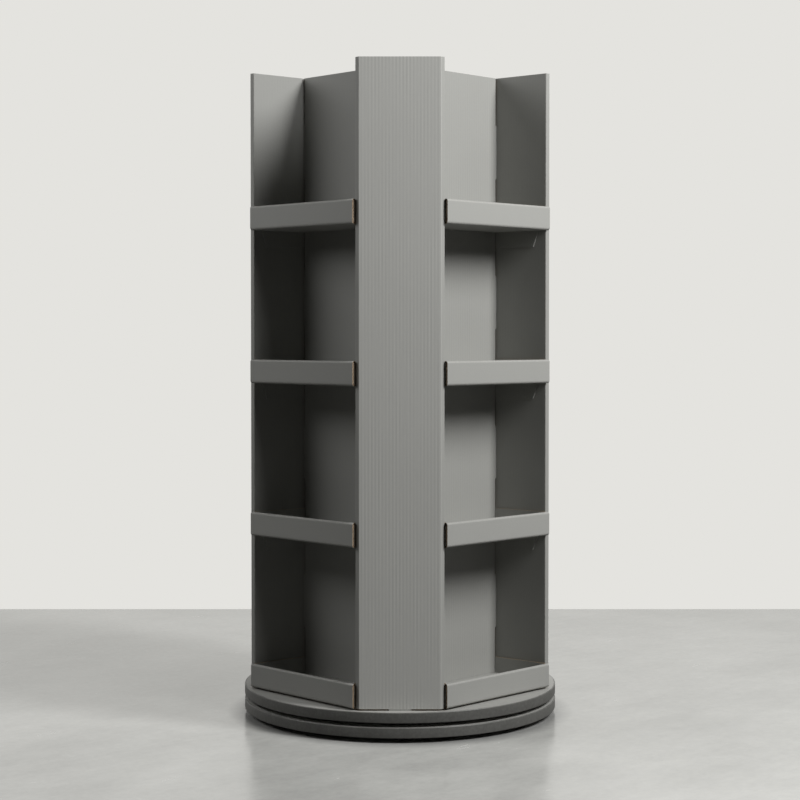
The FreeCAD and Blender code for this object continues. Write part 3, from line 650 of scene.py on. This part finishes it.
# Shelf pad: z = top - edge drop - sag * (1 - u^2)(1 - v^2) - flutes, which are
# ripple * (1 - cos(2 pi x / pitch)) / 2 and fade out towards the edges.
def makeShelfPad(side, turn, tier):
    node = "shelf_pad_%s_%d" % (side, tier + 1)
    foot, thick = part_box(node)[0].z, padHigh.z - padLow.z
    u, pushX, dropX = roundedSpan(padLook["round"], padLook["steps"], padLook["middle"] * flute["samples"])
    v, pushY, dropY = roundedSpan(padLook["round"], padLook["steps"], padLook["middle"] // 2)
    u, v = u[None, :], v[:, None]
    middle, deep = (padLow.y + padHigh.y) / 2, (padHigh.y - padLow.y) / 2
    y = middle + v * (deep - padLook["round"]) + pushY[:, None] + 0 * u
    inner = wallAt(y) - 2 * bay["fitGap"] - flute["thick"] - padLook["round"]
    x = u * inner + pushX[None, :]
    sag = padLook["sag"] * (1 - u ** 2) * (1 - v ** 2)
    ripple = padLook["ripple"] * (1 - np.cos(2 * np.pi * x / flute["pitch"]))
    ripple = ripple * (1 - v ** padLook["fade"]) * (1 - u ** padLook["fade"])
    top = np.stack([x, y, thick - np.maximum(dropX[None, :], dropY[:, None]) - sag - ripple / 2], -1)
    bottom = np.stack([x, y, 0 * x], -1)
    worn = np.exp(-((np.abs(v) - 1) / padLook["wornShare"]) ** 2) * np.ones_like(u)
    island = slab(top, bottom, x, y, worn, (printed, kraftLiner, printed))
    piece = makePiece(camelName(node), [island], sheetMaterials, turn, foot)
    placePiece(piece, "tower", node)


cleatLook = {"high": 0.030, "foot": 0.086, "slant": 0.012, "rows": 9, "columns": 60, "bow": 0.00025,
             "rim": 0.1}


# Cleats: flat strips on the side walls under the upper trays, longer at the top, so that the
# front end slants: reach = foot + slant * height share.
def makeCleats(side, turn):
    islands = []
    rear, length = bay["rear"] + bay["fitGap"], math.hypot(bay["slope"], 1)
    share = np.linspace(0, 1, cleatLook["rows"])[:, None]
    ends = cleatLook["foot"] + cleatLook["slant"] * share
    reach = ends * np.linspace(0, 1, cleatLook["columns"])[None, :]
    edge = np.minimum(np.minimum(share, 1 - share), cleatLook["rim"]) / cleatLook["rim"]
    for tier in range(1, tierCount):
        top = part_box("tray_%s_%d" % (side, tier + 1))[0].z
        height = top - cleatLook["high"] * (1 - share) + 0 * reach
        for hand in (1, -1):
            along = np.array([hand * bay["slope"], 1.0]) / length
            inward = np.array([-hand, bay["slope"]]) / length
            start = np.array([hand * wallAt(rear), rear]) + inward * bay["glueGap"]
            flat = start + along * reach[..., None]
            bow = cleatLook["bow"] * (1 - edge) * np.ones_like(reach)
            face = carriedUp(flat + inward * (flute["thick"] - bow)[..., None], height)
            back = carriedUp(flat, height)
            islands.append(slab(face, back, reach, height, 0, (printed, kraftLiner, printed)))
    node = "shelf_cleats_" + side
    placePiece(makePiece(camelName(node), islands, sheetMaterials, turn), "tower", node)


for corner, turn in corners.items():
    makePost(corner, turn)
for side, turn in sides.items():
    makeBackPanel(side, turn)
    makeCleats(side, turn)
    for tier in range(tierCount):
        makeTray(side, turn, tier)
        makeShelfPad(side, turn, tier)
print("tower sheets made")


boardLook = {"round": 0.0015, "steps": 7, "seam": 0.0003, "rings": (0.5, 0.9), "turns": 288,
             "sharp": 50.0}


# Round board: a profile carried round the axis. The faces are laminate, and the rim is an edge
# band that starts at a fine V-shaped seam, as deep as it is wide, one seam's width inside the
# rounding. wear is highest on the two roundings.
def makeBoard(node, body):
    low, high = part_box(node)
    radius, bottom, top = min(high.x, high.y, -low.x, -low.y), low.z, high.z
    curve, seam = boardLook["round"], boardLook["seam"]
    arc = np.linspace(0, math.pi / 2, boardLook["steps"])
    inner = radius - curve
    rings = [(inner * share, top) for share in (0, *boardLook["rings"])]
    upperFlat = np.array([*rings, (inner - 3 * seam, top)])
    seamCut = np.array([(inner - 2 * seam, top), (inner - 1.5 * seam, top - seam), (inner - seam, top)])
    upperArc = np.stack([inner + curve * np.sin(arc), top - curve + curve * np.cos(arc)], 1)
    upper = np.concatenate([upperFlat, seamCut, upperArc])
    lower = upper[::-1] * [1, -1] + [0, top + bottom]
    profile = np.concatenate([upper, lower])
    run = np.concatenate([[0], np.cumsum(np.linalg.norm(np.diff(profile, axis=0), axis=1))])
    nearRim = np.exp(-((profile[:, 0] - inner - curve / 2) / curve) ** 2)
    angle = np.linspace(0, 2 * math.pi, boardLook["turns"] + 1)
    angle[-1] = 0.0
    sweep = np.linspace(0, 2 * math.pi * radius, boardLook["turns"] + 1)
    points = np.stack([profile[:, 0, None] * np.cos(angle), profile[:, 0, None] * np.sin(angle),
                       profile[:, 1, None] + 0 * angle], -1)
    island = weld([grid(points, sweep[None, :], run[:, None], nearRim[:, None], 0)])
    middleRadius = np.hypot(*island["points"][island["quads"]].mean(1)[:, :2].T)
    island["slot"] = (middleRadius > inner - 2 * seam).astype(int)
    materials = [laminateMaterial, edgeMaterial]
    piece = makePiece(camelName(node), [island], materials, sharp=boardLook["sharp"])
    placePiece(piece, body, node)
    return piece


accessLook = {"radius": 0.010, "distance": 0.144, "turn": 45.0, "sides": 48, "past": 0.005}


# Round access hole for the upper race's screws.
def cutAccess(board, node):
    low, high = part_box(node)
    mesh = bpy.data.meshes.new("accessCutter")
    work = bmesh.new()
    deep = high.z - low.z + 2 * accessLook["past"]
    bmesh.ops.create_cone(work, cap_ends=True, segments=accessLook["sides"], radius1=accessLook["radius"],
                          radius2=accessLook["radius"], depth=deep)
    turn = math.radians(accessLook["turn"])
    distance = accessLook["distance"]
    centre = Vector((distance * math.cos(turn), distance * math.sin(turn), (low.z + high.z) / 2))
    bmesh.ops.translate(work, verts=work.verts, vec=centre)
    work.to_mesh(mesh)
    work.free()
    cutter = bpy.data.objects.new("accessCutter", mesh)
    bpy.context.scene.collection.objects.link(cutter)
    hole = board.modifiers.new("access", "BOOLEAN")
    hole.object, hole.operation, hole.solver = cutter, "DIFFERENCE", "EXACT"
    shaped = bpy.data.meshes.new_from_object(board.evaluated_get(bpy.context.evaluated_depsgraph_get()))
    board.modifiers.clear()
    board.data = shaped
    bpy.data.objects.remove(cutter)
    bpy.data.meshes.remove(mesh)


cutAccess(makeBoard("lower_board", "base"), "lower_board")
makeBoard("upper_board", "tower")
print("boards made")


lidLook = {"fold": 0.0016}


# Core lid: a sheet folded down at two edges, and two flanges between them.
def makeCoreLid():
    low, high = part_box("core_lid")
    half, thick, fold = high.x, flute["thick"], lidLook["fold"]
    section = [(half, low.z), (half, high.z), (-half, high.z), (-half, low.z)]
    line = roundedLine(section, [0, fold, fold, 0])
    islands = corrugated(line, -half, half, carriedAcross, (printed, kraftLiner), cutLow=True, cutHigh=True)
    inner = half - thick
    for hand in (1, -1):
        flange = flatLine((hand * inner, -inner), (hand * inner, inner), (-hand, 0))
        islands += corrugated(flange, low.z, high.z - thick, carriedUp, (printed, kraftLiner))
    placePiece(makePiece("coreLid", islands, sheetMaterials), "tower", "core_lid")


makeCoreLid()

cadFinish = {
    "base_sheet": kraftMaterial, "core_divider": linerMaterial, "core_block": rawBoardMaterial,
    "glide_feet": plasticMaterial, "ball_cage": nylonMaterial, "bearing_balls": steelMaterial,
    "lower_race": zincMaterial, "upper_race": zincMaterial, "lower_race_screws": steelMaterial,
    "upper_race_screws": steelMaterial, "glide_screws": steelMaterial, "core_block_screws": steelMaterial,
}
for name, material in cadFinish.items():
    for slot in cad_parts[name].material_slots:
        slot.material = material
print("frame pieces dressed:", len(cadFinish))


floorLook = {"half": 1.235, "color": (0.37, 0.37, 0.357), "bounce": 0.16, "glow": (0.118, 0.118, 0.110),
             "cloud": 0.7, "grit": 0.2, "streak": 0.5, "rough": 0.21, "specular": 1.0, "turn": 45,
             "shade": (0.302, 0.335), "ticks": 3, "cloudNoise": (1.6, 6.0, 0.62),
             "streakNoise": (9.0, 7.0, 0.72), "stretch": (1, 0.45, 1), "gritNoise": (70.0, 4.0, 0.7),
             "roughSwing": 0.4}


# Polished pale floor. Its glow is for the camera only and fades out under the boards, which paints
# their contact shadow, and it throws back only a part of its light.
def makeFloor():
    ticks = np.linspace(-floorLook["half"], floorLook["half"], floorLook["ticks"])
    y, x = np.meshgrid(ticks, ticks, indexing="ij")
    made, tree, shader, place = startMaterial("paleFloor", floorLook)
    seen = addNode(tree, "ShaderNodeLightPath").outputs["Is Camera Ray"]
    cloud = noise(tree, place, *floorLook["cloudNoise"])
    streak = noise(tree, place, *floorLook["streakNoise"], floorLook["stretch"])
    grit = noise(tree, place, *floorLook["gritNoise"])
    tone = maths(tree, "ADD", maths(tree, "MULTIPLY", cloud, floorLook["cloud"]),
                 maths(tree, "MULTIPLY", grit, floorLook["grit"]))
    tone = maths(tree, "ADD", tone, maths(tree, "MULTIPLY", streak, floorLook["streak"]))
    lift = maths(tree, "ADD", tone, 1.0)
    given = maths(tree, "MULTIPLY", lift, spread(tree, seen, 0.0, 1.0, floorLook["bounce"], 1.0))
    paint(tree, shader, floorLook["color"], maths(tree, "SUBTRACT", given, 1.0))
    roughen(tree, shader, floorLook["rough"], streak, floorLook["roughSwing"])
    away = addNode(tree, "ShaderNodeVectorMath", {0: place}, operation="LENGTH").outputs["Value"]
    # The glow fades to nothing near the boards' rim: a painted contact shadow under the base.
    glowWithPaintedShadow = maths(tree, "MULTIPLY", lift, spread(tree, away, *floorLook["shade"]))
    glow = addNode(tree, "ShaderNodeVectorMath", {0: floorLook["glow"], "Scale": glowWithPaintedShadow}, operation="SCALE")
    wire(tree, glow.outputs[0], shader.inputs["Emission Color"])
    wire(tree, seen, shader.inputs["Emission Strength"])
    points = np.stack([x, y, 0 * x], -1)[:, ::-1]
    floor = makePiece("floor", [weld([grid(points, x, y, 0, 0)])], [made], floorLook["turn"])


# Two tall soft boxes side by side on the right, the nearer one weaker, a wide one on the left, and
# one behind that neither the camera nor a reflection sees.
lampLooks = {
    "key": {"place": (2.3, 0.50, 2.32), "aim": (0, 0, 0.7), "wide": 0.6, "tall": 1.4,
            "power": 84.0, "seen": True},
    "keyEdge": {"place": (2.35, -0.29, 2.32), "aim": (0, 0, 0.7), "wide": 0.6, "tall": 1.4,
                "power": 17.0, "seen": True},
    "fill": {"place": (-1.2, -1.7, 1.85), "aim": (0, 0, 0.9), "wide": 1.8, "tall": 1.1,
             "power": 19.5, "seen": True},
    "back": {"place": (-1.9, 2.1, 2.3), "aim": (0, 0, 0.7), "wide": 1.2, "tall": 1.2,
             "power": 22.0, "seen": False},
}


def makeLamp(name, look):
    lamp = bpy.data.lights.new(name, "AREA")
    lamp.shape, lamp.energy = "ELLIPSE", look["power"]
    lamp.size, lamp.size_y = look["wide"], look["tall"]
    made = bpy.data.objects.new(name, lamp)
    bpy.context.scene.collection.objects.link(made)
    made.location = look["place"]
    towards = Vector(look["aim"]) - Vector(look["place"])
    made.rotation_euler = towards.to_track_quat("-Z", "Y").to_euler()
    made.visible_camera = made.visible_glossy = look["seen"]


worldLook = {"seen": (0.776, 0.768, 0.737), "mirrored": 0.85, "strength": 0.003}


# The backdrop is pale to the eye and in glossy reflections, but gives hardly any light.
def makeWorld():
    world = bpy.data.worlds.new("studio")
    bpy.context.scene.world = world
    world.use_nodes = True
    tree = world.node_tree
    tree.nodes.clear()
    ray = addNode(tree, "ShaderNodeLightPath").outputs
    mirrored = maths(tree, "MULTIPLY", ray["Is Glossy Ray"], worldLook["mirrored"])
    strength = maths(tree, "MAXIMUM", mirrored, worldLook["strength"])
    strength = maths(tree, "MAXIMUM", ray["Is Camera Ray"], strength)
    seen = addNode(tree, "ShaderNodeBackground", {"Color": (*worldLook["seen"], 1), "Strength": strength})
    addNode(tree, "ShaderNodeOutputWorld", {0: seen.outputs[0]})


cameraLook = {"far": 3.418, "high": 0.7273, "tilt": 0.0240, "turn": 45, "sensor": 36.0, "lens": 79.55,
              "shift": -0.0299}


def makeCamera():
    data = bpy.data.cameras.new("camera")
    data.sensor_width, data.lens = cameraLook["sensor"], cameraLook["lens"]
    data.shift_y = cameraLook["shift"]
    made = bpy.data.objects.new("camera", data)
    bpy.context.scene.collection.objects.link(made)
    turn, far = math.radians(cameraLook["turn"]), cameraLook["far"]
    made.location = (far * math.sin(turn), -far * math.cos(turn), cameraLook["high"])
    made.rotation_euler = (math.pi / 2 - cameraLook["tilt"], 0, turn)
    bpy.context.scene.camera = made


makeFloor()
for name, look in lampLooks.items():
    makeLamp(name, look)
makeWorld()
makeCamera()
bpy.context.scene.view_settings.view_transform = "Standard"
print("studio made")
